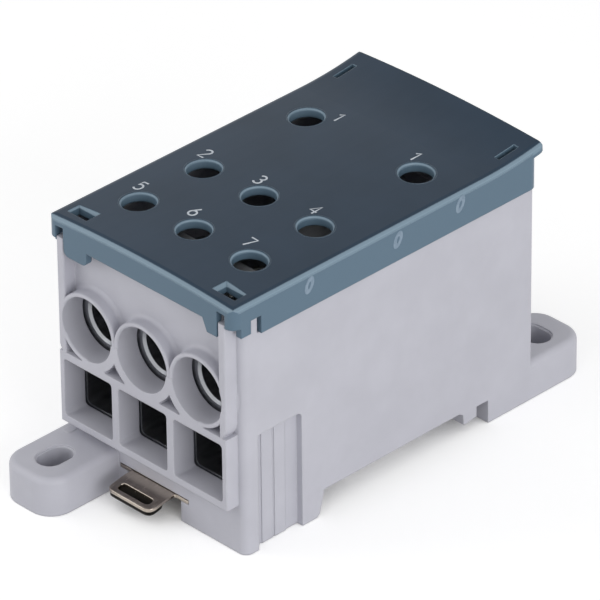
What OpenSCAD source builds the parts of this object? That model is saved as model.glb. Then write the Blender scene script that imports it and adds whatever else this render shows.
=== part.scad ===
// Power distribution block for a 35 mm DIN rail: one metal block in a moulded
// housing, six outlet sockets on the front, two inlets on the back, a clamp
// screw over each, and a lift-off lid with a key hole over each screw.
// X runs across the front, Y from the front to the back, Z up.
// The origin is the centre of the footprint, at the level of the feet.

/* [Housing] */
// Width of the housing
body_w = 48.3; // [48:0.1:50]
// Depth of the housing, from its front wall to its back wall
body_l = 75.9; // [75:0.1:80]
// Radius of the housing's upright front corners
corner_r = 1.7; // [1:0.1:2]
// Radius of the housing's upright back corners
back_corner_r = 0.5; // [0.3:0.1:1]
// Thickness of the side walls
wall_t = 2.1; // [1.8:0.1:2.2]
// Height of the floor that the metal block sits on
floor_z = 10.8; // [10.5:0.1:11]
// Height of the housing's rim, just under the lid's plate
rim_z = 52.4; // [52:0.1:52.5]

/* [Mounting ears] */
// Length that the front ear reaches beyond the front wall
front_ear_out = 17.6; // [17:0.1:19]
// Length that the back ear reaches beyond the back wall
back_ear_out = 15.5; // [15:0.1:17]
// Width of an ear
ear_w = 14.2; // [13:0.1:15]
// Height of an ear
ear_h = 8.1; // [7:0.1:9]
// Width of the slotted hole in an ear
ear_slot_w = 5.2; // [4.5:0.1:5.5]
// Length of the slotted hole in an ear
ear_slot_l = 7.6; // [7:0.1:8]

/* [Rail seat] */
// Height of the seat that rests on the rail
seat_z = 5.45; // [5:0.05:5.6]
// Front edge of the rail seat, behind the front wall
seat_front = 20.4; // [20:0.1:21]
// Length of the rail seat, for a 35 mm rail
seat_l = 35.9; // [35.6:0.1:36.2]

/* [Sockets] */
// Spacing of the sockets across the front
pitch = 14.73; // [14.6:0.01:14.8]
// Height of the centres of the round sockets
round_z = 33.5; // [33:0.1:34]
// Inner radius of a round socket
round_r = 6.6; // [6.2:0.1:6.7]
// Length that the sockets stand out of the front wall
socket_out = 2.9; // [2.5:0.1:3.2]
// Width of a square socket
cell_w = 13; // [12.6:0.1:13.1]
// Height of a square socket
cell_h = 12.5; // [12:0.1:12.6]
// Spacing of the two inlets on the back
inlet_pitch = 29.1; // [28.8:0.1:29.2]
// Height of the centres of the inlets
inlet_z = 24; // [23.5:0.1:24.5]

/* [Metal block] */
// Radius of the bores behind the round sockets
bore_r = 5; // [4.8:0.1:5.2]
// Width of the square bores behind the square sockets
square_bore = 12.7; // [12.2:0.1:12.7]
// Radius of the two inlet bores
inlet_r = 6.25; // [6:0.05:6.5]
// Radius of an outlet screw (M8)
screw_r = 4; // [3.9:0.05:4]
// Radius of an inlet screw (M10)
inlet_screw_r = 5; // [4.9:0.05:5]

/* [Lid] */
// Width of the lid
lid_w = 49.4; // [49.2:0.1:49.8]
// Height of the lid's top on its centre line
lid_z = 55.8; // [55.6:0.1:56]
// Radius of the gentle crown across the lid
crown_r = 330; // [300:10:600]
// Thickness of the lid's plate
lid_t = 1.9; // [1.8:0.1:2]
// Radius of a key hole in the lid
key_hole_r = 3.35; // [3:0.05:3.5]

/* [Rail latch] */
// Thickness of the latch's sheet
latch_t = 1; // [0.8:0.1:1]
// Width of the latch's slide
latch_w = 18.4; // [18:0.1:18.6]
// Width of the latch's pull tab
tab_w = 11.6; // [11:0.1:12]

/* [Hidden] */
$fn = 64;
eps = 0.01;
far = 200;

plastic = [0.74, 0.74, 0.77];
cover = [0.25, 0.31, 0.37];
metal = [0.78, 0.78, 0.76];
steel = [0.6, 0.58, 0.55];

// Y of the front wall, so that the footprint with both ears is centred
front_y = -(body_l - front_ear_out + back_ear_out) / 2;
half_w = body_w / 2;

// Levels of the sockets and of the frame round the square ones
cell_z0 = 12.05;
frame_z0 = 10.6;
frame_z1 = 26.1;
frame_x = 22.2;
ring_r = 7.5;
rib_x0 = 20.55;
rib_x1 = 22.35;
rib_foot_z = 28.9;
rib_foot_r = 4;
wall_front_t = 2.3;
web_end = 1.5;
pocket_r = 8.4;
inlet_socket_r = 8;

// Plan radius of an ear's corners
ear_r = 5;

// Space inside the housing
cavity_x = half_w - wall_t;
cavity_y1 = 70.8;
rim_inset = 1;

// Metal block: top levels of its front, middle and back steps
block_x = cavity_x - 0.1;
block_y0 = 2.7;
block_y1 = 70.6;
front_top = 45.5;
middle_top = 33;
back_top = 38.5;
front_step_y = 20.5;
back_step_y = 38;
mouth = 0.5;
// the middle round bore ends at bore_end, its neighbours bore_step short and long
bore_end = 18.5;
bore_step = 0.1;

// Rows of clamp screws, front to back
row_front = 11.1;
row_middle = 27.8;
row_back = 54.45;
screw_fit = 0.05;

// Lid skirts
skirt_z = 47.3;
front_skirt_z = 50.4;
skirt_t = 1.3;
lid_front = -socket_out;
lid_back = 76.7;
lip_back = 78;
rise_start = 62;
rise_r = 91;
edge_r = 1.3;
crown_steps = 6;

// Latch and its spring
latch_x = -0.4;
latch_z = 4.4;
window_w = 5.4;
window_y0 = 2;
window_y1 = 14.6;
post_t = 1.2;
spring_r = 2.05;
spring_wire = 0.55;
spring_turns = 6;

// Height of the lid's top at a distance x from its centre line
function crown_z(x) = lid_z - crown_r + sqrt(crown_r * crown_r - x * x);

// Moves from the front wall's frame to the footprint's centre
module from_front() {
  translate([0, front_y, 0]) children();
}

// Box from two opposite corners
module block_between(a, b) {
  translate(a) cube([b[0] - a[0], b[1] - a[1], b[2] - a[2]]);
}

// Rectangle with rounded corners, from two opposite corners
module rounded_rect(a, b, r) {
  for (x = [a[0] + r, b[0] - r], y = [a[1] + r, b[1] - r])
    translate([x, y]) circle(r);
  translate([a[0] + r, a[1]]) square([b[0] - a[0] - 2 * r, b[1] - a[1]]);
  translate([a[0], a[1] + r]) square([b[0] - a[0], b[1] - a[1] - 2 * r]);
}

// Cylinder along Y from y0 to y1
module along_y(x, y0, y1, z, r) {
  translate([x, y0, z]) rotate([-90, 0, 0]) cylinder(h = y1 - y0, r = r);
}

// Profile drawn as [y, z] and run across the part from x0 to x1
module side_profile(x0, x1) {
  translate([x0, 0, 0]) rotate([90, 0, 90]) linear_extrude(x1 - x0) children();
}

// Profile drawn as [x, z] and run from y0 to y1
module front_profile(y0, y1) {
  translate([0, y1, 0]) rotate([90, 0, 0]) linear_extrude(y1 - y0) children();
}

// Mounting ear on the front left, with its top edges rounded over. The slotted
// hole is slot_y from the wall and runs along the wall or square to it
module ear(out, slot_y, along_wall) {
  x0 = -half_w;
  x1 = -half_w + ear_w;
  y0 = -out;
  difference() {
    union() {
      translate([x0 + ear_r, y0 + ear_r, 0]) rotate([0, 0, 180])
        rotate_extrude(angle = 90) ear_edge(0, ear_r);
      translate([x1 - ear_r, y0 + ear_r, 0]) rotate([0, 0, 270])
        rotate_extrude(angle = 90) ear_edge(0, ear_r);
      side_profile(x0 + ear_r, x1 - ear_r) translate([y0 + ear_r, 0]) mirror([1, 0])
        ear_edge(-ear_r, ear_r);
      front_profile(y0 + ear_r, 2) {
        translate([x1 - ear_r, 0]) ear_edge(ear_r - ear_w / 2, ear_r);
        translate([x0 + ear_r, 0]) mirror([1, 0]) ear_edge(ear_r - ear_w / 2, ear_r);
      }
    }
    translate([-16.9, -slot_y, -eps]) rotate([0, 0, along_wall ? 0 : 90]) {
      linear_extrude(ear_h + 1) ear_slot(ear_slot_w / 2);
      translate([0, 0, ear_h - 0.4]) linear_extrude(1) ear_slot(ear_slot_w / 2 + 0.3);
    }
  }
}

// Upright section of an ear from u0 to u1, rounded over at its outer top edge
module ear_edge(u0, u1) {
  edge_r = 1.4;
  translate([u0, 0]) square([u1 - u0, ear_h - edge_r]);
  translate([u0, 0]) square([u1 - edge_r - u0, ear_h]);
  translate([u1 - edge_r, ear_h - edge_r]) intersection() {
    circle(edge_r);
    square(edge_r + 1);
  }
}

module ear_slot(r) {
  run = ear_slot_l - ear_slot_w;
  for (s = [-1, 1]) translate([s * run / 2, 0]) circle(r);
  translate([-run / 2, -r]) square([run, 2 * r]);
}

// Collar of a round socket: a tube with a fully rounded front edge and a fillet
// at its foot, in five flats
module collar(x, z, r_in, r_out, foot_r) {
  tip = (r_out - r_in) / 2;
  translate([x, 0, z]) rotate([90, 0, 0]) rotate_extrude() {
    translate([r_in, -eps]) square([r_out - r_in, socket_out - tip + eps]);
    translate([(r_in + r_out) / 2, socket_out - tip]) circle(tip);
    polygon(concat([[r_out - eps, -eps], [r_out - eps, foot_r]],
                   [for (a = [0 : 18 : 90]) [r_out + foot_r * (1 - cos(a)), foot_r * (1 - sin(a))]],
                   [[r_out + foot_r, -eps]]));
  }
}

// The front: round collars over a frame of square cells, between side ribs
module socket_front() {
  for (i = [-1, 0, 1]) collar(i * pitch, round_z, round_r, ring_r, 0.9);
  block_between([-frame_x, -socket_out, frame_z0], [frame_x, 1, frame_z1]);
  // flat webs between the collars and the frame, each with a small pocket
  difference() {
    union() {
      block_between([-pitch - web_end, -socket_out, frame_z1 - 1],
                    [pitch + web_end, 1, round_z - (round_r + ring_r) / 2 + 0.15]);
      block_between([-pitch, -socket_out, frame_z1 - 1], [pitch, 1, round_z - 0.5]);
    }
    for (i = [-1, 1]) difference() {
      block_between([i * pitch / 2 - 2.7, -socket_out - 1, frame_z1],
                    [i * pitch / 2 + 2.7, -0.4, round_z - 2]);
      for (j = [-1, 0, 1]) along_y(j * pitch, -socket_out - 2, 2, round_z, pocket_r);
    }
  }
  for (s = [-1, 1]) mirror([s < 0 ? 1 : 0, 0, 0]) {
    linear_extrude(50.9) intersection() {
      rounded_rect([rib_x0, -socket_out], [rib_x1, 3], 0.4);
      translate([0, -5]) square([far, 5 + eps]);
    }
  }
}

// Openings through the front wall
module front_openings() {
  for (i = [-1, 0, 1]) {
    along_y(i * pitch, -socket_out - 1, wall_front_t + 1, round_z, round_r);
    front_profile(-socket_out - 1, wall_front_t + 1)
      rounded_rect([i * pitch - cell_w / 2, cell_z0],
                   [i * pitch + cell_w / 2, cell_z0 + cell_h], 0.8);
  }
  // the ribs curve in under the collars, above the frame
  for (s = [-1, 1]) mirror([s < 0 ? 1 : 0, 0, 0]) difference() {
    block_between([pitch, -socket_out - 1, frame_z1], [half_w + 1, -eps, rib_foot_z]);
    along_y(pitch, -socket_out - 2, 1, round_z, ring_r);
    along_y(rib_x1 - rib_foot_r, -socket_out - 2, 1, rib_foot_z, rib_foot_r);
  }
  block_between([rib_x0 - 1, -socket_out - 1, -1], [rib_x1 + 1, -eps, frame_z0]);
  block_between([-rib_x1 - 1, -socket_out - 1, ear_h + 0.1], [-rib_x0 + 1, -eps, frame_z0]);
}

// Space for the metal block, open at the top
module cavity() {
  block_between([-cavity_x, wall_front_t, floor_z], [cavity_x, cavity_y1, far]);
  block_between([-cavity_x, wall_front_t, back_top + 0.5], [cavity_x, body_l - 2.2, far]);
}

// Wedges that snap over the metal block's shoulders
module block_snaps() {
  for (s = [0, 1], p = [[24, middle_top], [56, back_top]])
    mirror([s, 0, 0]) front_profile(p[0], p[0] + 8)
      polygon([[cavity_x + 1, p[1] + 0.1], [cavity_x - 0.8, p[1] + 0.1],
               [cavity_x - 0.8, p[1] + 0.6], [cavity_x + 0.5, p[1] + 4]]);
}

// Rail seat, the spring hook behind it and the relief slot behind the hook
module rail_seat() {
  seat_back = seat_front + seat_l;
  side_profile(-far, far) polygon([
    [18.4, -1], [18.4, 0], [19.2, 0.7], [seat_front, seat_z], [seat_back, seat_z],
    [seat_back + 1, seat_z - 0.7], [seat_back + 1.2, 2.5], [60.9, 2.9],
    [60.9, 5.1], [64.1, 5.1], [64.1, -1]]);
}

// Lip of the hook that goes under the rail's back edge
module hook_lip() {
  seat_back = seat_front + seat_l;
  side_profile(-9, 9) polygon([
    [seat_back - 1.3, 4.2], [seat_back - 0.6, 2.6], [seat_back + 2, 2.4],
    [seat_back + 2, 4.2]]);
}

// Slide ways of the latch, open below between the front feet
module latch_way() {
  slot_x = latch_w / 2 + 0.15;
  block_between([latch_x - slot_x, -1, latch_z - 0.05],
                [latch_x + slot_x, seat_front, latch_z + latch_t + 0.05]);
  block_between([-7.6, -1, -1], [6.85, seat_front, latch_z + 0.5]);
  difference() {
    along_y(latch_x, window_y0 + post_t, window_y1 + 0.3, latch_z + latch_t / 2, 2.6);
    block_between([-far, -1, -1], [far, far, latch_z]);
  }
}

// Post that holds the fixed end of the latch spring
module spring_post() {
  block_between([latch_x - 1.9, window_y0 + 0.05, 2.6],
                [latch_x + 1.9, window_y0 + post_t, seat_z + 1]);
}

// Ribbed finger grip let into a side wall, open at the base
module grip(s) {
  grip_z = 25.2;
  grip_x = half_w - 1.5;
  mirror([s < 0 ? 1 : 0, 0, 0]) {
    difference() {
      side_profile(grip_x, half_w + 1) union() {
        rounded_rect([3.4, -5], [14.7, grip_z], 1.2);
        translate([3.4, 10]) square([3, grip_z - 10]);
      }
      for (y = [4.9, 8.4, 11.7]) side_profile(grip_x, grip_x + 0.25)
        translate([y - 2.95, 0]) square([2.75, grip_z - 0.3]);
    }
  }
}

// Inlet sockets through the back wall
module back_openings() {
  for (s = [-1, 1])
    along_y(s * inlet_pitch / 2, cavity_y1 - 1, body_l + 3, inlet_z, inlet_socket_r);
}

// The rim inside the lid's skirts, with the tooth that the skirt fits round
module rim_cut() {
  difference() {
    block_between([-far, -far, skirt_z], [far, far, far]);
    block_between([-half_w + rim_inset, 0, 0], [half_w - rim_inset, body_l - 0.9, far]);
    block_between([-half_w, 0, 0], [half_w, 1.8, front_skirt_z - 2.2]);
    block_between([-half_w, 1.8, 0], [half_w, 3.6, front_skirt_z + 0.5]);
    block_between([-half_w, -far, 0], [half_w, 0, 51]);
  }
  // dips in the rim under the lid's corner openings
  for (s = [-1, 1]) mirror([s < 0 ? 1 : 0, 0, 0])
    block_between([17.4, eps, 51], [21.8, wall_front_t + 1, far]);
}

module housing_outline() {
  rounded_rect([-half_w, 0], [half_w, body_l / 2], corner_r);
  rounded_rect([-half_w, corner_r + 1], [half_w, body_l], back_corner_r);
}

module housing() {
  color(plastic) from_front() difference() {
    union() {
      difference() {
        union() {
          linear_extrude(rim_z) housing_outline();
          ear(front_ear_out, 9.75, false);
          translate([0, body_l, 0]) mirror([0, 1, 0]) mirror([1, 0, 0])
            ear(back_ear_out, 7.9, true);
        }
        cavity();
        rail_seat();
        latch_way();
        grip(-1);
        grip(1);
        back_openings();
      }
      socket_front();
      block_snaps();
      hook_lip();
      spring_post();
    }
    front_openings();
    rim_cut();
  }
}

// Cone that opens a bore's mouth, at the plane y, widening against dir
module bore_mouth(x, y, z, r, dir) {
  translate([x, y, z]) rotate([90 * dir, 0, 0])
    translate([0, 0, -mouth]) cylinder(h = mouth + eps, r1 = r, r2 = r + mouth);
}

// One milled bar, stepped down towards the back, bored and tapped
module terminal_block() {
  color(metal) from_front() difference() {
    side_profile(-block_x, block_x) polygon([
      [block_y0, floor_z], [block_y1, floor_z], [block_y1, back_top],
      [back_step_y, back_top], [back_step_y, middle_top],
      [front_step_y, middle_top], [front_step_y, front_top],
      [block_y0, front_top]]);
    for (i = [-1, 0, 1]) {
      along_y(i * pitch, block_y0 - 1, bore_end + bore_step * i, round_z, bore_r);
      bore_mouth(i * pitch, block_y0, round_z, bore_r, 1);
      front_profile(block_y0 - 1, 36)
        rounded_rect([i * pitch - square_bore / 2, cell_z0 + 0.2],
                     [i * pitch + square_bore / 2, cell_z0 + cell_h - 0.1], 1);
      tapped_hole(i * pitch, row_front, round_z, screw_r);
      tapped_hole(i * pitch, row_middle, 20, screw_r);
    }
    for (s = [-1, 1]) {
      along_y(s * inlet_pitch / 2, 42, block_y1 + 1, inlet_z, inlet_r);
      bore_mouth(s * inlet_pitch / 2, block_y1, inlet_z, inlet_r, -1);
      tapped_hole(s * inlet_pitch / 2, row_back, inlet_z, inlet_screw_r);
    }
  }
}

module tapped_hole(x, y, z0, r) {
  translate([x, y, z0]) cylinder(h = far, r = r + screw_fit);
}

// Headless clamp screw: point at the origin, key socket at the top
module clamp_screw(r, len, key) {
  edge = 0.8;
  point_r = r * 0.62;
  difference() {
    rotate_extrude() polygon([[0, 0], [point_r, 0], [r, r - point_r],
      [r, len - edge], [r - edge, len], [0, len]]);
    translate([0, 0, len - key * 1.1]) cylinder(h = len, r = key / sqrt(3), $fn = 6);
    translate([0, 0, len - 0.4])
      cylinder(h = 0.4 + eps, r1 = key / sqrt(3) - 0.1, r2 = key / sqrt(3) + 0.3);
  }
}

module outlet_screw(column, row, tip_z, len) {
  color(steel) from_front() translate([column * pitch, row, tip_z])
    clamp_screw(screw_r, len, 4);
}

module inlet_screw(s) {
  color(steel) from_front() translate([s * inlet_pitch / 2, row_back, inlet_z + inlet_r])
    clamp_screw(inlet_screw_r, 14, 5);
}

// Quarter round of edge_r as three flats, from level to upright
function edge_flats() = [for (a = [90 : -30 : 0]) edge_r * [cos(a), sin(a) - 1]];

// Section across the lid's plate: crowned, with both top edges rounded
module plate_section() {
  edge_x = lid_w / 2 - edge_r;
  top = [edge_x, crown_z(edge_x)];
  crown = [for (i = [-crown_steps : crown_steps]) i / crown_steps];
  polygon(concat(
    [for (t = crown) [edge_x * t, crown_z(edge_x * t)]],
    [for (p = edge_flats()) if (p[0] > eps) top + p],
    [for (t = crown) [-lid_w / 2 * t, crown_z(lid_w / 2 * t) - lid_t]],
    [for (i = [3 : -1 : 1]) let (p = edge_flats()[i]) [-top[0] - p[0], top[1] + p[1]]]));
}

// What the rounded front edge leaves out, turned about the crown's axis
module front_edge_waste() {
  run = 1.5;
  translate([0, 0, lid_z - crown_r]) rotate([-90, 0, 0]) rotate([0, 0, -90 - 6])
    rotate_extrude(angle = 12, $fn = 360) rotate([0, 0, 90]) mirror([0, 1])
      translate([lid_front + edge_r, crown_r]) mirror([1, 0])
        polygon(concat([[-run, 1], [-run, run * tan(15)]], edge_flats(),
                       [[edge_r + 1, -edge_r], [edge_r + 1, 1]]));
}

// Turns a section upwards behind rise_start, about an axis across the lid
module turned_up() {
  translate([0, rise_start, lid_z + rise_r]) rotate([0, 90, 0])
    rotate_extrude(angle = asin((lip_back - rise_start) / (rise_r + lid_t)), $fn = 180)
      rotate([0, 0, 90]) translate([0, -lid_z - rise_r]) children();
}

// The plate: flat from the front, then turned up into a lip at the back
module lid_plate() {
  difference() {
    intersection() {
      union() {
        front_profile(lid_front, rise_start) plate_section();
        turned_up() plate_section();
      }
      linear_extrude(far) rounded_rect([-lid_w / 2, lid_front], [lid_w / 2, lip_back + 1], 2);
    }
    front_edge_waste();
  }
}

// Outline of the skirts, set in by inset
module skirt_outline(inset, r) {
  rounded_rect([-lid_w / 2 + inset, lid_front + inset],
               [lid_w / 2 - inset, lid_back - inset], r);
}

// Section of the space under the middle of the plate's thickness
module under_section() {
  crown = [for (i = [-crown_steps : crown_steps]) lid_w / 2 * i / crown_steps];
  polygon(concat([for (x = crown) [x, crown_z(x) - lid_t / 2]],
                 [[lid_w / 2, 0], [-lid_w / 2, 0]]));
}

module lid_skirts() {
  difference() {
    intersection() {
      translate([0, 0, skirt_z]) linear_extrude(far) skirt_outline(0, 2);
      union() {
        front_profile(lid_front, rise_start) under_section();
        turned_up() under_section();
      }
    }
    translate([0, 0, -1]) linear_extrude(far) skirt_outline(skirt_t, 0.9);
    // the front skirt and the front corners stop higher than the sides
    difference() {
      block_between([-far, -far, 0], [far, 4.2, front_skirt_z]);
      front_tabs();
      for (s = [-1, 1]) mirror([s < 0 ? 1 : 0, 0, 0])
        block_between([half_w - 2, -0.9, 48.3], [far, 1.6, far]);
    }
    // notches for the housing's teeth
    for (s = [-1, 1]) mirror([s < 0 ? 1 : 0, 0, 0]) {
      block_between([half_w - 3, 1.6, 0], [far, 4.2, front_skirt_z + 0.7]);
      // slots that pass the housing's side ribs
      block_between([rib_x0 - 0.15, lid_front - 1, 0], [rib_x1 + 0.1, 0, 53.4]);
    }
  }
}

// Tabs that hang from the front skirt beside the ribs
module front_tabs() {
  front_profile(-far, 0) {
    rounded_rect([-20.35, skirt_z + 0.2], [-14.1, far], edge_r);
    polygon([[17.8, skirt_z + 0.4], [20.35, skirt_z + 0.4], [20.35, far], [16.6, far],
             [16.6, front_skirt_z]]);
  }
}

module key_holes() {
  for (p = concat([for (i = [-1, 0, 1], y = [row_front, row_middle]) [i * pitch, y]],
                  [for (s = [-1, 1]) [s * inlet_pitch / 2, row_back]])) {
    translate([p[0], p[1], lid_z - 5]) cylinder(h = 10, r = key_hole_r);
    translate([p[0], p[1], crown_z(p[0]) - 0.4])
      cylinder(h = 1, r1 = key_hole_r, r2 = key_hole_r + 1);
  }
}

// Moulding openings over the front corners, with bevelled rims, and the two
// slots at the back
module core_openings() {
  for (s = [-1, 1]) {
    translate([s * 19.6, 1.5, 0]) {
      block_between([-2.3, -1.2, lid_z - 5], [2.3, 1.2, far]);
      // two crossed prisms meet in a four-sided bevel
      intersection() {
        front_profile(-5, 5) bevel_section(2.3);
        side_profile(-5, 5) bevel_section(1.2);
      }
    }
    block_between([s * 21.4 - 0.6, 68.8, lid_z - 3], [s * 21.4 + 0.6, 74, lid_z + 6]);
  }
}

module bevel_section(half) {
  rim = 0.5;
  top = crown_z(19.6);
  polygon([[-half, top - rim], [half, top - rim], [half + 2 * rim, top + rim],
           [-half - 2 * rim, top + rim]]);
}

module lid() {
  color(cover) from_front() difference() {
    union() {
      lid_plate();
      lid_skirts();
    }
    key_holes();
    core_openings();
  }
}

// Latch: a flat slide with a window for its spring, a pull tab bent slightly
// down in front, and a nose behind that steps down to go under the rail
module rail_latch() {
  z0 = latch_z;
  color(steel) from_front() translate([latch_x, 0, 0]) difference() {
    union() {
      block_between([-latch_w / 2, -0.1, z0], [latch_w / 2, 16.4, z0 + latch_t]);
      intersection() {
        side_profile(-tab_w / 2, tab_w / 2) polygon([
          [-6.9, z0 - 1.7], [-2.4, z0 - 1.1], [-2.4, z0 - 0.3], [-5.9, z0 - 0.77],
          [-5.9, z0 - 0.57], [-1.8, z0], [16.4, z0], [18.2, z0 - 1.3],
          [20.8, z0 - 1.3], [22.2, z0 - 0.9], [22.2, z0 - 0.3], [18.7, z0 - 0.3],
          [16.9, z0 + latch_t], [-1.9, z0 + latch_t], [-6.9, z0 + latch_t - 0.7]]);
        linear_extrude(10) union() {
          rounded_rect([-tab_w / 2, -6.9], [tab_w / 2, 5], 1.8);
          translate([-tab_w / 2, 0]) square([tab_w, 30]);
        }
      }
    }
    block_between([-window_w / 2, window_y0, 0], [window_w / 2, window_y1, 10]);
    // finger slot through the tab's upper layer
    translate([-3.3, -5.7, z0 - 0.7]) cube([6.6, 2, 10]);
    for (s = [-1, 1]) translate([s * 3.3, -4.7, z0 - 0.7]) cylinder(h = 10, r = 1);
  }
}

// Return spring of the latch: a wire swept along a helix
module latch_spring() {
  steps = 14;
  sides = 6;
  length = window_y1 - window_y0 - post_t - spring_wire - 0.1;
  lead = length / spring_turns;
  rings = steps * spring_turns;
  points = [for (i = [0 : rings], j = [0 : sides - 1])
    let (a = 360 * i / steps, b = 360 * j / sides,
         r = spring_r + spring_wire / 2 * cos(b))
    [r * cos(a), lead * i / steps + spring_wire / 2 * sin(b), r * sin(a)]];
  faces = concat(
    [[for (j = [0 : sides - 1]) j]],
    [for (i = [0 : rings - 1], j = [0 : sides - 1])
      let (a = i * sides + j, b = i * sides + (j + 1) % sides)
      [a, a + sides, b + sides, b]],
    [[for (j = [sides - 1 : -1 : 0]) rings * sides + j]]);
  color(steel) from_front()
    translate([latch_x, window_y0 + post_t + spring_wire / 2 + 0.05, latch_z + latch_t / 2])
      polyhedron(points, faces, convexity = 10);
}

housing();
terminal_block();
lid();
rail_latch();
latch_spring();
outlet_screw(-1, row_middle, 24.6, 14);  // outlet_screw_2
outlet_screw(0, row_middle, 24.6, 14);  // outlet_screw_3
outlet_screw(1, row_middle, 24.6, 14);  // outlet_screw_4
outlet_screw(-1, row_front, round_z + bore_r, 12);  // outlet_screw_5
outlet_screw(0, row_front, round_z + bore_r, 12);  // outlet_screw_6
outlet_screw(1, row_front, round_z + bore_r, 12);  // outlet_screw_7
inlet_screw(-1);  // inlet_screw_left
inlet_screw(1);  // inlet_screw_right
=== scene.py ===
"""A power distribution block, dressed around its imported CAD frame.

Everything is in metres in the frame's own axes: X across the front, Y from the
outlet sockets to the inlets, Z up. MM turns millimetres to metres.
"""

import math

import bmesh
import bpy
from mathutils import Matrix, Vector


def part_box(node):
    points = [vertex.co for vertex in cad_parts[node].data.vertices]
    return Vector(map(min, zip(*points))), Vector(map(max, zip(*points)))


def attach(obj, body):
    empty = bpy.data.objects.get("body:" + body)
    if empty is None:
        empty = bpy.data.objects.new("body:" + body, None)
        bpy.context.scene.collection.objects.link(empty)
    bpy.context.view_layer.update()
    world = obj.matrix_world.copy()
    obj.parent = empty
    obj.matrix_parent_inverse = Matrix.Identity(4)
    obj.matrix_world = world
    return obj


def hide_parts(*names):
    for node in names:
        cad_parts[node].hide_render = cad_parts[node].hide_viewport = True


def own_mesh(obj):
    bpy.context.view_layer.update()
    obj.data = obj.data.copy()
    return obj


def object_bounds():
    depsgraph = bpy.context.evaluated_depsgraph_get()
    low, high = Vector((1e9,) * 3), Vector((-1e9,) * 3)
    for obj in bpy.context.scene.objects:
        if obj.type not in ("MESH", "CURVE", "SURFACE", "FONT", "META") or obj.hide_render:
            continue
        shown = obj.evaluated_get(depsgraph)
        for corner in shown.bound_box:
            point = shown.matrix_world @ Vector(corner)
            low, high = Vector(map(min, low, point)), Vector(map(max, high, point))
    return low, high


MM = 0.001

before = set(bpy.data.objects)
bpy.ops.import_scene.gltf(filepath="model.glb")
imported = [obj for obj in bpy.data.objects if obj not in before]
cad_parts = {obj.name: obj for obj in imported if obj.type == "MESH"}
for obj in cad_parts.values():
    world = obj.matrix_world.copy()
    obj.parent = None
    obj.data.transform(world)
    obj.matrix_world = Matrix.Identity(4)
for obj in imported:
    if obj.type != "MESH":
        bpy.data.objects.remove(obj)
cad_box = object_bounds()

# Levels and spacings shared with the part's source, in millimetres. FRONT_Y is
# the front wall, and lengths called "deep" are measured back from it.
FRONT_Y = -36.9
PITCH = 14.73
INLET_PITCH = 29.1
LID_TOP = 55.8
LID_HALF = 24.7
CROWN_R = 330.0
LATCH_X, LATCH_Z = -0.4, 4.9


def point(x, deep, z):
    """A place given from the front wall, in metres in the frame."""
    return Vector((x, FRONT_Y + deep, z)) * MM


def crown_z(x):
    """Height of the lid's top at x from its centre line, in millimetres."""
    return LID_TOP - CROWN_R + math.sqrt(CROWN_R**2 - x**2)


# ---------------------------------------------------------------- materials


def grey(level):
    """A linear grey, as RGBA."""
    return (level, level, level, 1.0)


BLACK, WHITE = grey(0.0), grey(1.0)


def linear(hex_colour):
    """An sRGB hex colour as linear RGBA."""
    values = [int(hex_colour[i : i + 2], 16) / 255 for i in (1, 3, 5)]
    return [v / 12.92 if v <= 0.04045 else ((v + 0.055) / 1.055) ** 2.4 for v in values] + [1.0]


def add_node(tree, kind, inputs=None, stops=(), **settings):
    """Adds a shader node. An input is a value, or a link given as (node, output).
    stops are the (position, colour) pairs of a colour ramp."""
    node = tree.nodes.new(kind)
    for name, value in settings.items():
        setattr(node, name, value)
    for name, value in (inputs or {}).items():
        if isinstance(value, tuple) and isinstance(value[0], bpy.types.Node):
            tree.links.new(value[0].outputs[value[1]], node.inputs[name])
        else:
            node.inputs[name].default_value = value
    if stops:
        elements = node.color_ramp.elements
        while len(elements) < len(stops):
            elements.new(0.5)
        for element, (position, colour) in zip(elements, stops):
            element.position = position
            element.color = colour
    return node


def new_material(name):
    """An empty material with its output node."""
    material = bpy.data.materials.new(name)
    material.use_nodes = True
    tree = material.node_tree
    tree.nodes.clear()
    return material, tree, add_node(tree, "ShaderNodeOutputMaterial")


def per_mm(size):
    """Texture scale, in cells a metre, for a pattern whose cells are size mm wide."""
    return 1000.0 / size


def soft_edge(tree, radius, samples=6):
    """A normal that rounds sharp arrises by radius mm, and how far it bends at each."""
    bevel = add_node(tree, "ShaderNodeBevel", {"Radius": radius * MM}, samples=samples)
    plain = add_node(tree, "ShaderNodeNewGeometry")
    bend = add_node(
        tree,
        "ShaderNodeVectorMath",
        {0: (bevel, "Normal"), 1: (plain, "True Normal")},
        operation="DOT_PRODUCT",
    )
    return bevel, bend


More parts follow.
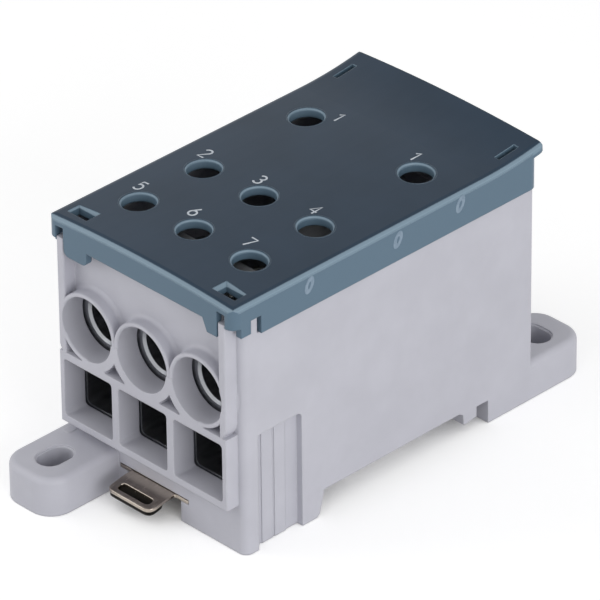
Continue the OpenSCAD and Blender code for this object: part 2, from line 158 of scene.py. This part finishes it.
def moulded_polyamide(name, light, shade, arris, rough):
    """Glass-filled polyamide, moulded: a fine matt grain with faint flow clouds,
    and arrises painted a little lighter as a highlight."""
    cloud_mm, grain_mm, arris_mm, gloss_spread = 9, 0.22, 0.35, 0.05
    material, tree, output = new_material(name)
    place = add_node(tree, "ShaderNodeTexCoord")
    clouds = add_node(
        tree,
        "ShaderNodeTexNoise",
        {"Vector": (place, "Object"), "Scale": per_mm(cloud_mm), "Detail": 3.0, "Roughness": 0.55},
    )
    body = add_node(
        tree,
        "ShaderNodeValToRGB",
        {"Fac": (clouds, "Fac")},
        stops=[(0.35, linear(shade)), (0.65, linear(light))],
    )
    bevel, bend = soft_edge(tree, arris_mm)
    # painted highlight: where the rounded normal turns away from the face's own, the arris colour
    # is mixed in
    painted_edge_highlight = add_node(
        tree,
        "ShaderNodeValToRGB",
        {"Fac": (bend, "Value")},
        stops=[(0.80, WHITE), (0.985, BLACK)],
    )
    colour = add_node(
        tree,
        "ShaderNodeMix",
        {"Factor": (painted_edge_highlight, "Color"), "A": (body, "Color"), "B": linear(arris)},
        data_type="RGBA",
    )
    # spark-eroded tool finish, drawn about three times as coarse so that it shows
    grain = add_node(
        tree,
        "ShaderNodeTexNoise",
        {"Vector": (place, "Object"), "Scale": per_mm(grain_mm), "Detail": 2.0},
    )
    bump = add_node(
        tree,
        "ShaderNodeBump",
        {
            "Strength": 0.16,
            "Distance": 0.02 * MM,
            "Height": (grain, "Fac"),
            "Normal": (bevel, "Normal"),
        },
    )
    gloss = add_node(
        tree,
        "ShaderNodeValToRGB",
        {"Fac": (grain, "Fac")},
        stops=[(0.3, grey(rough - gloss_spread)), (0.7, grey(rough + gloss_spread))],
    )
    shader = add_node(
        tree,
        "ShaderNodeBsdfPrincipled",
        {
            "Base Color": (colour, "Result"),
            "Roughness": (gloss, "Color"),
            "IOR": 1.52,
            "Specular IOR Level": 0.35,
            "Normal": (bump, "Normal"),
        },
    )
    tree.links.new(shader.outputs["BSDF"], output.inputs["Surface"])
    return material


def lid_polyamide():
    """Blue-grey cover plastic with a satin skin. Its colour follows the way a face
    points, with light and shade painted in: the top is painted dark as shade (the real
    one lets a little light through to the hollow housing), the skirts are painted paler,
    and the band where the edges round over is a painted highlight."""
    cloud_mm, grain_mm, arris_mm = 14, 0.3, 0.3
    material, tree, output = new_material("blue_grey_cover_plastic_satin")
    place = add_node(tree, "ShaderNodeTexCoord")
    bevel, _ = soft_edge(tree, arris_mm)
    facing = add_node(tree, "ShaderNodeSeparateXYZ", {"Vector": (bevel, "Normal")})
    clouds = add_node(
        tree,
        "ShaderNodeTexNoise",
        {"Vector": (place, "Object"), "Scale": per_mm(cloud_mm), "Detail": 2.0, "Roughness": 0.5},
    )
    # colour of the top: dark, a painted shade
    top = add_node(
        tree,
        "ShaderNodeValToRGB",
        {"Fac": (clouds, "Fac")},
        stops=[(0.3, linear("#1D3143")), (0.7, linear("#23374A"))],
    )
    # by facing: paler skirts, and a painted highlight band where the edges round over
    side = add_node(
        tree,
        "ShaderNodeValToRGB",
        {"Fac": (facing, "Z")},
        stops=[
            (0.0, linear("#5C7283")),
            (0.45, linear("#8A9FAE")),
            (0.72, linear("#7C909F")),
            (0.88, linear("#4E6271")),
            (0.97, linear("#23384B")),
        ],
    )
    # which faces take the top's painted dark
    upward = add_node(
        tree,
        "ShaderNodeValToRGB",
        {"Fac": (facing, "Z")},
        stops=[(0.90, BLACK), (0.985, WHITE)],
    )
    colour = add_node(
        tree,
        "ShaderNodeMix",
        {"Factor": (upward, "Color"), "A": (side, "Color"), "B": (top, "Color")},
        data_type="RGBA",
    )
    grain = add_node(
        tree,
        "ShaderNodeTexNoise",
        {"Vector": (place, "Object"), "Scale": per_mm(grain_mm), "Detail": 2.0},
    )
    bump = add_node(
        tree,
        "ShaderNodeBump",
        {
            "Strength": 0.10,
            "Distance": 0.02 * MM,
            "Height": (grain, "Fac"),
            "Normal": (bevel, "Normal"),
        },
    )
    shader = add_node(
        tree,
        "ShaderNodeBsdfPrincipled",
        {
            "Base Color": (colour, "Result"),
            "Roughness": 0.32,
            "IOR": 1.50,
            "Specular IOR Level": 0.2,
            "Normal": (bump, "Normal"),
        },
    )
    tree.links.new(shader.outputs["BSDF"], output.inputs["Surface"])
    return material


def worked_metal(name, light, shade, rough, grain_mm, stretch, depth, edge=0.15):
    """A bare or plated metal with fine tool marks, depth mm deep. stretch draws the
    marks out along the axes where it is small, and edge rounds the arrises by mm."""
    gloss_spread = 0.07
    material, tree, output = new_material(name)
    place = add_node(tree, "ShaderNodeTexCoord")
    turned = add_node(
        tree, "ShaderNodeMapping", {"Vector": (place, "Object"), "Scale": stretch}
    )
    marks = add_node(
        tree,
        "ShaderNodeTexNoise",
        {"Vector": (turned, "Vector"), "Scale": per_mm(grain_mm), "Detail": 3.0, "Roughness": 0.6},
    )
    colour = add_node(
        tree,
        "ShaderNodeValToRGB",
        {"Fac": (marks, "Fac")},
        stops=[(0.35, linear(shade)), (0.65, linear(light))],
    )
    gloss = add_node(
        tree,
        "ShaderNodeValToRGB",
        {"Fac": (marks, "Fac")},
        stops=[(0.3, grey(rough - gloss_spread)), (0.7, grey(rough + gloss_spread))],
    )
    bevel, _ = soft_edge(tree, edge)
    bump = add_node(
        tree,
        "ShaderNodeBump",
        {
            "Strength": 0.35,
            "Distance": depth * MM,
            "Height": (marks, "Fac"),
            "Normal": (bevel, "Normal"),
        },
    )
    shader = add_node(
        tree,
        "ShaderNodeBsdfPrincipled",
        {
            "Base Color": (colour, "Color"),
            "Metallic": 1.0,
            "Roughness": (gloss, "Color"),
            "Normal": (bump, "Normal"),
        },
    )
    tree.links.new(shader.outputs["BSDF"], output.inputs["Surface"])
    return material


def marking(name, thin, full):
    """Printed or stamped marking, slightly uneven in its cover."""
    patch_mm = 0.8
    material, tree, output = new_material(name)
    place = add_node(tree, "ShaderNodeTexCoord")
    cover = add_node(
        tree,
        "ShaderNodeTexNoise",
        {"Vector": (place, "Object"), "Scale": per_mm(patch_mm), "Detail": 2.0},
    )
    colour = add_node(
        tree,
        "ShaderNodeValToRGB",
        {"Fac": (cover, "Fac")},
        stops=[(0.3, linear(thin)), (0.6, linear(full))],
    )
    shader = add_node(
        tree,
        "ShaderNodeBsdfPrincipled",
        {"Base Color": (colour, "Color"), "Roughness": 0.5, "IOR": 1.48},
    )
    tree.links.new(shader.outputs["BSDF"], output.inputs["Surface"])
    return material


# Moulded housing: fine matt, light grey with a trace of violet, arrises painted lighter as a
# highlight
HOUSING = moulded_polyamide(
    "light_grey_polyamide_moulded", "#BDBDC6", "#B8B8C1", "#CECED6", 0.46
)
# Moulded cover: darker, bluer and smoother than the housing, its top painted dark as shade and its
# rounded edges painted light as a highlight
LID = lid_polyamide()
# Bored and milled bar, tin-plated: a soft grey shine with faint marks along the bores
BLOCK = worked_metal(
    "tin_plated_aluminium_milled", "#A4A6AA", "#9A9CA0", 0.36, 0.5, (1.0, 0.15, 1.0), 0.001, 0.1
)
# Turned from steel rod and zinc-plated: rings round the axis
SCREW = worked_metal(
    "zinc_plated_steel_turned", "#AFAEAB", "#8F8D89", 0.32, 0.25, (0.3, 0.3, 1.0), 0.01
)
# Blanked from strip and nickel-plated: warm grey, rolled along its length
LATCH = worked_metal(
    "nickel_plated_steel_strip", "#B8AEA3", "#ADA398", 0.22, 0.35, (1.0, 0.10, 1.0), 0.004, 0.1
)
# The folded-under layer: dull, and painted near-black as the shade under the tab
FOLD_IN_PAINTED_SHADE = worked_metal(
    "steel_fold_painted_dark_as_shade", "#23211F", "#191817", 0.45, 0.35, (1.0, 0.12, 1.0), 0.004, 0.1
)
# Drawn spring wire, bare and slightly dull
WIRE = worked_metal(
    "drawn_spring_wire", "#A6A6A6", "#7F7F80", 0.35, 0.2, (1.0, 1.0, 1.0), 0.005, 0.05
)
# Pad-printed digits: flat, pale grey ink
INK = marking("pale_grey_pad_printing_ink", "#B9C1CA", "#CDD4DC")
# Foil stamped into the skirt: duller and bluer than the ink
MARK = marking("pale_hot_stamped_mark", "#6E8294", "#8092A3")

NODE_FINISH = {
    "housing": HOUSING,
    "lid": LID,
    "terminal_block": BLOCK,
    "rail_latch": LATCH,
    "latch_spring": WIRE,
}
for node_name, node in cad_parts.items():
    finish = NODE_FINISH.get(node_name, SCREW)
    node.data.materials.clear()
    node.data.materials.append(finish)


# ------------------------------------------------------------------- pieces


def add_piece(name, mesh, finish, body):
    """Puts a finished mesh into the scene, on its body."""
    piece = bpy.data.objects.new(name, mesh)
    bpy.context.scene.collection.objects.link(piece)
    mesh.materials.clear()
    mesh.materials.append(finish)
    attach(piece, body)
    return piece


def smooth(mesh, sharp_angle):
    """Smooth shading that keeps edges sharper than sharp_angle degrees."""
    mesh.polygons.foreach_set("use_smooth", [True] * len(mesh.polygons))
    mesh.set_sharp_from_angle(angle=math.radians(sharp_angle))


def skinned(name, rings, capped=True):
    """A closed mesh through rings of points. Uncapped, the last ring joins the first."""
    count = len(rings[0])
    spans = [(i, i + 1) for i in range(len(rings) - 1)]
    if not capped:
        spans.append((len(rings) - 1, 0))
    faces = [
        (a * count + j, a * count + (j + 1) % count, b * count + (j + 1) % count, b * count + j)
        for a, b in spans
        for j in range(count)
    ]
    if capped:
        faces.append(tuple(range(count)))
        faces.append(tuple(range((len(rings) - 1) * count, len(rings) * count)))
    mesh = bpy.data.meshes.new(name)
    mesh.from_pydata([p for ring in rings for p in ring], [], faces)
    form = bmesh.new()
    form.from_mesh(mesh)
    bmesh.ops.recalc_face_normals(form, faces=form.faces)
    form.to_mesh(mesh)
    form.free()
    smooth(mesh, 40)
    return mesh


def circle(count):
    """The angles of count points round a circle, in radians."""
    return [2 * math.pi * i / count for i in range(count)]


def add_run(curve, places, closed=False):
    """Adds a run of straight lines to a curve, through (x, y) places in millimetres."""
    spline = curve.splines.new("POLY")
    spline.points.add(len(places) - 1)
    spline.use_cyclic_u = closed
    for end, (x, y) in zip(spline.points, places):
        end.co = (x * MM, y * MM, 0.0, 1.0)


def mesh_of(curve):
    """The mesh that a curve gives with its bevel and fill."""
    holder = bpy.data.objects.new(curve.name, curve)
    bpy.context.scene.collection.objects.link(holder)
    shape = holder.evaluated_get(bpy.context.evaluated_depsgraph_get())
    mesh = bpy.data.meshes.new_from_object(shape)
    bpy.data.objects.remove(holder)
    return mesh


def on_lid(x, deep, lift=0.0):
    """Stands a shape made at the origin on the lid's crowned top, tilted with it."""
    return Matrix.Translation(point(x, deep, crown_z(x) + lift)) @ Matrix.Rotation(
        math.asin(x / CROWN_R), 4, "Y"
    )


# Centres of the key holes, as (x, deep), by the outlet's number or inlet's side
ROW_FRONT, ROW_MIDDLE, ROW_BACK = 11.1, 27.8, 54.45
KEY_HOLES = {
    "5": (-PITCH, ROW_FRONT),
    "6": (0.0, ROW_FRONT),
    "7": (PITCH, ROW_FRONT),
    "2": (-PITCH, ROW_MIDDLE),
    "3": (0.0, ROW_MIDDLE),
    "4": (PITCH, ROW_MIDDLE),
    "inlet_left": (-INLET_PITCH / 2, ROW_BACK),
    "inlet_right": (INLET_PITCH / 2, ROW_BACK),
}


def key_hole_rim(name, x, deep):
    """The rounded-over rim of a key hole and its wall, as the mould leaves them."""
    wall_r, round_r, depth = 3.33, 0.55, 1.9
    proud, buried, backing = 0.012, 0.25, 0.1
    arc_steps, sides = 8, 64
    outer_r = wall_r + round_r
    profile = [(outer_r, -buried), (outer_r, proud)]
    for step in range(1, arc_steps + 1):
        a = math.radians(90 + 90 * step / arc_steps)
        profile.append((outer_r + round_r * math.cos(a), proud - round_r + round_r * math.sin(a)))
    profile += [(wall_r, -depth), (wall_r + backing, -depth)]
    rings = [
        [Vector((r * math.cos(a), r * math.sin(a), z)) * MM for a in circle(sides)]
        for r, z in profile
    ]
    mesh = skinned(name, rings, capped=False)
    mesh.transform(on_lid(x, deep))
    add_piece(name, mesh, LID, "lid")


def arc(cx, cy, rx, ry, start, end, steps=12):
    """Points along an ellipse from start to end degrees."""
    turns = [math.radians(start + (end - start) * i / steps) for i in range(steps + 1)]
    return [(cx + rx * math.cos(a), cy + ry * math.sin(a)) for a in turns]


# Strokes of the digits on a grid one wide and two high, as runs of points
DIGIT_STROKES = {
    "1": [[(0.1, 1.55), (0.6, 2.0), (0.6, 0.0)]],
    "2": [arc(0.5, 1.5, 0.5, 0.5, 165, -30) + [(0.0, 0.0), (1.0, 0.0)]],
    "3": [arc(0.5, 1.52, 0.46, 0.48, 150, -90, 10) + arc(0.5, 0.54, 0.5, 0.54, 90, -150, 12)],
    "4": [[(0.72, 0.0), (0.72, 2.0), (0.0, 0.6), (1.0, 0.6)]],
    "5": [[(0.9, 2.0), (0.16, 2.0), (0.08, 1.1)] + arc(0.45, 0.66, 0.53, 0.66, 115, -140, 14)],
    "6": [[(0.75, 2.0), (0.12, 1.0)] + arc(0.5, 0.6, 0.5, 0.6, 150, 510, 20)],
    "7": [[(0.0, 2.0), (1.0, 2.0), (0.35, 0.0)]],
}


def printed_digit(name, digit, x, deep):
    """One printed digit, lying flat on the lid's top and read from the front."""
    width, height, stroke = 1.6, 2.9, 0.42
    flatness, lift = 0.12, 0.01
    curve = bpy.data.curves.new(name + "_strokes", "CURVE")
    curve.dimensions = "3D"
    curve.bevel_depth = stroke / 2 * MM
    curve.bevel_resolution = 3
    curve.use_fill_caps = True
    for run in DIGIT_STROKES[digit]:
        add_run(curve, [((u - 0.5) * width, (v / 2 - 0.5) * height) for u, v in run])
    mesh = mesh_of(curve)
    mesh.transform(on_lid(x, deep, lift) @ Matrix.Diagonal((1.0, 1.0, flatness, 1.0)))
    add_piece(name, mesh, INK, "lid")


def oval_mark(name, deep, z):
    """A pale oval ring stamped on the right skirt, leaning back a little."""
    outer, inner, lean, sides = (1.1, 1.7), (0.34, 0.72), 0.28, 40
    proud, buried = 0.012, 0.05
    rings = []
    for (across, up), out in (
        (outer, -buried),
        (outer, proud),
        (inner, proud),
        (inner, -buried),
    ):
        ring = []
        for a in circle(sides):
            rise = up * math.sin(a)
            ring.append(point(LID_HALF + out, deep + across * math.cos(a) + lean * rise, z + rise))
        rings.append(ring)
    add_piece(name, skinned(name, rings, capped=False), MARK, "lid")


def threaded_screw(node_name, body, pitch, key):
    """A headless clamp screw in the place of its node: a cone point, a thread
    cut down its length and a hexagon socket in its top."""
    low, high = (Vector(corner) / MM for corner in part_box(node_name))
    middle_x, middle_y = (low.x + high.x) / 2, (low.y + high.y) / 2
    radius = (high.x - low.x) / 2
    length = high.z - low.z
    sides, rings_a_turn = 48, 10
    thread_depth = 0.6 * pitch
    # the thread's flanks are steeper than an even zigzag, with flats between them
    steepness, root_flat = 1.35, 0.15
    point_r, top_edge = 0.62 * radius, 0.8
    socket_depth, socket_edge, socket_edge_depth = 1.1 * key, 0.2, 0.3

    def thread_r(z, turn):
        envelope = min(radius, point_r + z, radius - (z - (length - top_edge)))
        phase = (z / pitch - turn) % 1.0
        flank = min(max(abs(2 * phase - 1) * steepness - root_flat, 0.0), 1.0)
        return min(envelope, radius - thread_depth * (1 - flank))

    def hexagon_r(turn, wider=0.0):
        return key / 2 / math.cos(math.radians((360 * turn) % 60 - 30)) + wider

    def ring(z, radii):
        return [
            Vector((middle_x + r * math.cos(a), middle_y + r * math.sin(a), low.z + z)) * MM
            for r, a in zip(radii, circle(sides))
        ]

    turns = [i / sides for i in range(sides)]
    steps = int(length / pitch * rings_a_turn)
    levels = [length * i / steps for i in range(steps + 1)]
    rings = [ring(z, [thread_r(z, turn) for turn in turns]) for z in levels]
    hexagon = [hexagon_r(turn) for turn in turns]
    rings.append(ring(length, [hexagon_r(turn, socket_edge) for turn in turns]))
    rings.append(ring(length - socket_edge_depth, hexagon))
    rings.append(ring(length - socket_depth, hexagon))
    name = node_name + "_threaded"
    piece = add_piece(name, skinned(name, rings), SCREW, body)
    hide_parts(node_name)


def coil_spring():
    """The latch's spring: round wire, with its end turns wound close. The latch
    presses it from behind, and its front end stays; here it is drawn at rest, on the base."""
    front, back = 3.2, 14.5
    wire_r, coil_r, wire_sides, steps_a_turn = 0.275, 2.05, 12, 28
    turns, close_turns = 7.5, 1.0
    close_rise = 2.1 * wire_r
    open_turns = turns - 2 * close_turns
    open_rise = (back - front - 2 * wire_r - 2 * close_turns * close_rise) / open_turns

    def along(turn):
        opened = min(max(turn - close_turns, 0.0), open_turns)
        return (
            min(turn, close_turns) * close_rise
            + opened * open_rise
            + max(turn - (turns - close_turns), 0.0) * close_rise
        )

    rings = []
    for i in range(int(turns * steps_a_turn) + 1):
        a = 2 * math.pi * i / steps_a_turn
        middle = front + wire_r + along(i / steps_a_turn)
        ring = []
        for b in circle(wire_sides):
            r = coil_r + wire_r * math.cos(b)
            deep = middle + wire_r * math.sin(b)
            ring.append(point(LATCH_X + r * math.cos(a), deep, LATCH_Z + r * math.sin(a)))
        rings.append(ring)
    piece = add_piece("return_spring", skinned("return_spring", rings), WIRE, "base")
    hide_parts("latch_spring")
    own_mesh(piece)


def rounded_corners(corners):
    """Outline through (x, y, radius) corners, with each one rounded."""
    arc_steps = 6
    outline = []
    for i, (x, y, radius) in enumerate(corners):
        here = Vector((x, y))
        back = (Vector(corners[i - 1][:2]) - here).normalized()
        ahead = (Vector(corners[(i + 1) % len(corners)][:2]) - here).normalized()
        for step in range(arc_steps + 1):
            t = step / arc_steps
            start, end = here + back * radius, here + ahead * radius
            outline.append((1 - t) ** 2 * start + 2 * t * (1 - t) * here + t**2 * end)
    return outline


def rectangle(x0, y0, x1, y1, radius):
    """Corners of a rectangle with one radius, for rounded_corners."""
    return [(x0, y0, radius), (x1, y0, radius), (x1, y1, radius), (x0, y1, radius)]


def bent_sheet(name, outlines, thickness, level, arris=0.1):
    """Sheet metal cut to outlines (the first is the edge, the rest are holes),
    with rounded arrises, then bent to the heights that level gives along it."""
    curve = bpy.data.curves.new(name, "CURVE")
    curve.dimensions = "2D"
    curve.fill_mode = "BOTH"
    curve.extrude = (thickness / 2 - arris) * MM
    curve.bevel_depth = arris * MM
    curve.bevel_resolution = 2
    curve.offset = -arris * MM
    for outline in outlines:
        add_run(curve, outline, closed=True)
    mesh = mesh_of(curve)
    form = bmesh.new()
    form.from_mesh(mesh)
    bmesh.ops.remove_doubles(form, verts=form.verts, dist=1e-7)
    first = min(vert.co.y for vert in form.verts) / MM
    last = max(vert.co.y for vert in form.verts) / MM
    bend_step = 0.35
    for i in range(1, int((last - first) / bend_step)):
        bmesh.ops.bisect_plane(
            form,
            geom=form.verts[:] + form.edges[:] + form.faces[:],
            plane_co=(0, (first + i * bend_step) * MM, 0),
            plane_no=(0, 1, 0),
        )
    for vert in form.verts:
        vert.co = point(LATCH_X, 0, 0) + vert.co + Vector((0, 0, level(vert.co.y / MM) * MM))
    bmesh.ops.recalc_face_normals(form, faces=form.faces)
    form.to_mesh(mesh)
    form.free()
    smooth(mesh, 32)
    return mesh


def eased(value, start, end):
    """Goes smoothly from 0 at start to 1 at end."""
    t = min(max((value - start) / (end - start), 0.0), 1.0)
    return t * t * (3 - 2 * t)


def latch_level(deep):
    """Mid-height of the latch's sheet: the tab dips in front, the nose behind."""
    tab_dip, nose_dip = 0.62, 1.3
    return LATCH_Z - tab_dip * eased(-deep, 1.4, 6.2) - nose_dip * eased(deep, 16.5, 18.6)


def rail_latch():
    """The latch as pressed: slide, tab with a finger slot and a folded edge, nose."""
    sheet, hem, overlap, inset = 0.72, 0.85, 0.02, 0.15
    half, tab = 9.2, 5.8
    front, shoulder, slide_end, back = -6.9, -0.1, 16.4, 22.2
    edge = [
        (-tab, front, 1.8), (tab, front, 1.8), (tab, shoulder, 0.4), (half, shoulder, 0.5),
        (half, slide_end, 0.5), (tab, slide_end, 0.4), (tab, back, 0.7), (-tab, back, 0.7),
        (-tab, slide_end, 0.4), (-half, slide_end, 0.5), (-half, shoulder, 0.5),
        (-tab, shoulder, 0.4),
    ]
    finger_slot = rectangle(-4.2, -5.7, 4.2, -3.8, 0.9)
    spring_window = rectangle(-2.7, 2.0, 2.7, 14.6, 0.4)
    outlines = [rounded_corners(corners) for corners in (edge, finger_slot, spring_window)]
    upper = bent_sheet("rail_latch_pressed", outlines, sheet, latch_level)
    piece = add_piece("rail_latch_pressed", upper, LATCH, "latch")
    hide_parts("rail_latch")

    def hem_level(deep):
        return latch_level(deep) - (sheet + hem) / 2 + overlap

    fold = rounded_corners(rectangle(inset - tab, front + inset, tab - inset, -2.5, 1.6))
    lower = bent_sheet("rail_latch_fold", [fold], hem, hem_level)
    # the fold is painted near-black, a painted shade under the tab
    add_piece("rail_latch_fold", lower, FOLD_IN_PAINTED_SHADE, "latch")


# The outlet numbers behind the key holes, and a 1 beside each inlet's: the piece,
# its digit and its centre as x and deep
LID_DIGITS = (
    ("printed_5", "5", -18.75, 15.4),
    ("printed_6", "6", -4.35, 15.5),
    ("printed_7", "7", 10.3, 15.3),
    ("printed_2", "2", -18.6, 32.0),
    ("printed_3", "3", -4.0, 31.95),
    ("printed_4", "4", 10.8, 31.8),
    ("printed_1_left", "1", -9.75, 58.3),
    ("printed_1_right", "1", 10.5, 58.3),
)
# Centres of the marks on the right skirt, as (deep, z)
SKIRT_MARKS = ((16.5, 52.1), (39.4, 51.8), (55.8, 52.4))
# Thread pitch and key width of the M8 outlet screws and the M10 inlet screws
OUTLET_THREAD, INLET_THREAD = (1.25, 4.0), (1.5, 5.0)

for hole_name, (hole_x, hole_deep) in KEY_HOLES.items():
    key_hole_rim("key_hole_rim_" + hole_name, hole_x, hole_deep)
for digit_name, digit, digit_x, digit_deep in LID_DIGITS:
    printed_digit(digit_name, digit, digit_x, digit_deep)
for number, (mark_deep, mark_z) in enumerate(SKIRT_MARKS, 1):
    oval_mark(f"skirt_mark_{number}", mark_deep, mark_z)
for number in "234567":
    threaded_screw("outlet_screw_" + number, "screw_" + number, *OUTLET_THREAD)
for side in ("left", "right"):
    threaded_screw("inlet_screw_" + side, "screw_inlet_" + side, *INLET_THREAD)
coil_spring()
rail_latch()


# ------------------------------------------------------------ floor and light


def seen_directly(tree):
    """1 for camera, mirror and see-through rays, and 0 for diffuse and shadow rays,
    which light the object."""
    rays = add_node(tree, "ShaderNodeLightPath")
    seen = add_node(
        tree,
        "ShaderNodeMath",
        {0: (rays, "Is Camera Ray"), 1: (rays, "Is Glossy Ray")},
        operation="MAXIMUM",
    )
    return add_node(
        tree,
        "ShaderNodeMath",
        {0: (seen, "Value"), 1: (rays, "Is Transmission Ray")},
        operation="MAXIMUM",
    )


def white_floor():
    """A pale studio floor: diffuse, so that it takes the shadow, lifted to white
    for camera, mirror and see-through rays only."""
    floor_r, gap, hollow_mm = 6.0, 0.0001, 12
    paint_level, lift_level = 0.80, 0.42
    mesh = bpy.data.meshes.new("studio_floor")
    form = bmesh.new()
    bmesh.ops.create_circle(form, cap_ends=True, segments=64, radius=floor_r)
    form.to_mesh(mesh)
    form.free()
    floor = bpy.data.objects.new("studio_floor", mesh)
    floor.location.z = cad_box[0][2] - gap
    bpy.context.scene.collection.objects.link(floor)
    material, tree, output = new_material("white_studio_floor")
    paint = add_node(tree, "ShaderNodeBsdfDiffuse", {"Color": grey(paint_level)})
    seen = seen_directly(tree)
    # inside the ears' holes and under the housing the floor isn't lifted: painted shade where
    # ambient occlusion is deep
    open_sky = add_node(
        tree, "ShaderNodeAmbientOcclusion", {"Distance": hollow_mm * MM}, samples=8
    )
    in_open = add_node(
        tree,
        "ShaderNodeValToRGB",
        {"Fac": (open_sky, "AO")},
        stops=[(0.12, BLACK), (0.40, grey(lift_level))],
    )
    lift = add_node(
        tree, "ShaderNodeMath", {0: (seen, "Value"), 1: (in_open, "Color")}, operation="MULTIPLY"
    )
    glow = add_node(tree, "ShaderNodeEmission", {"Color": WHITE, "Strength": (lift, "Value")})
    both = add_node(tree, "ShaderNodeAddShader", {0: (paint, "BSDF"), 1: (glow, "Emission")})
    tree.links.new(both.outputs["Shader"], output.inputs["Surface"])
    mesh.materials.append(material)


def white_world(strength):
    """Even light from all round, seen as white by the camera and in metal."""
    world = bpy.data.worlds.new("studio_world")
    bpy.context.scene.world = world
    world.use_nodes = True
    tree = world.node_tree
    tree.nodes.clear()
    seen = seen_directly(tree)
    level = add_node(
        tree, "ShaderNodeMapRange", {"Value": (seen, "Value"), "To Min": strength, "To Max": 1.0}
    )
    light = add_node(
        tree, "ShaderNodeBackground", {"Color": WHITE, "Strength": (level, "Result")}
    )
    output = add_node(tree, "ShaderNodeOutputWorld")
    tree.links.new(light.outputs["Background"], output.inputs["Surface"])


def outward(azimuth, elevation):
    """Direction from the object to a place round it, both in degrees. Azimuth 0 is
    the front and 90 the right side."""
    a, e = math.radians(azimuth), math.radians(elevation)
    return Vector((math.sin(a) * math.cos(e), -math.cos(a) * math.cos(e), math.sin(e)))


def aim(thing, place, target):
    """Puts a lamp or camera at place, looking at target."""
    thing.location = place
    thing.rotation_euler = (target - place).to_track_quat("-Z", "Y").to_euler()


def softbox(name, azimuth, elevation, distance, size, power, target):
    """A square area lamp, distance metres from the target, with power in watts."""
    lamp = bpy.data.lights.new(name, "AREA")
    lamp.size = size
    lamp.energy = power
    holder = bpy.data.objects.new(name, lamp)
    bpy.context.scene.collection.objects.link(holder)
    aim(holder, target + distance * outward(azimuth, elevation), target)


def set_camera(target):
    """The view over the front right corner, from about a metre and a third."""
    azimuth, elevation, roll, distance = 45.79, 32.03, -0.6, 1.338
    lens = bpy.data.cameras.new("camera")
    lens.sensor_width = 36.0
    lens.lens = 427.9
    lens.clip_start = 0.05
    lens.clip_end = 20.0
    camera = bpy.data.objects.new("camera", lens)
    bpy.context.scene.collection.objects.link(camera)
    aim(camera, target + distance * outward(azimuth, elevation), target)
    camera.rotation_euler = (
        camera.rotation_euler.to_matrix() @ Matrix.Rotation(math.radians(roll), 3, "Z")
    ).to_euler()
    bpy.context.scene.camera = camera


white_floor()
white_world(0.58)
centre = Vector((0.51, 0.67, 28.91)) * MM
set_camera(centre)
softbox("key_right", 78, 14, 1.0, 0.7, 5.2, centre)
softbox("fill_front", 15, 40, 1.0, 0.7, 0.3, centre)
softbox("fill_left", -45, 22, 0.32, 0.22, 0.24, centre)

bpy.context.scene.view_settings.view_transform = "Standard"
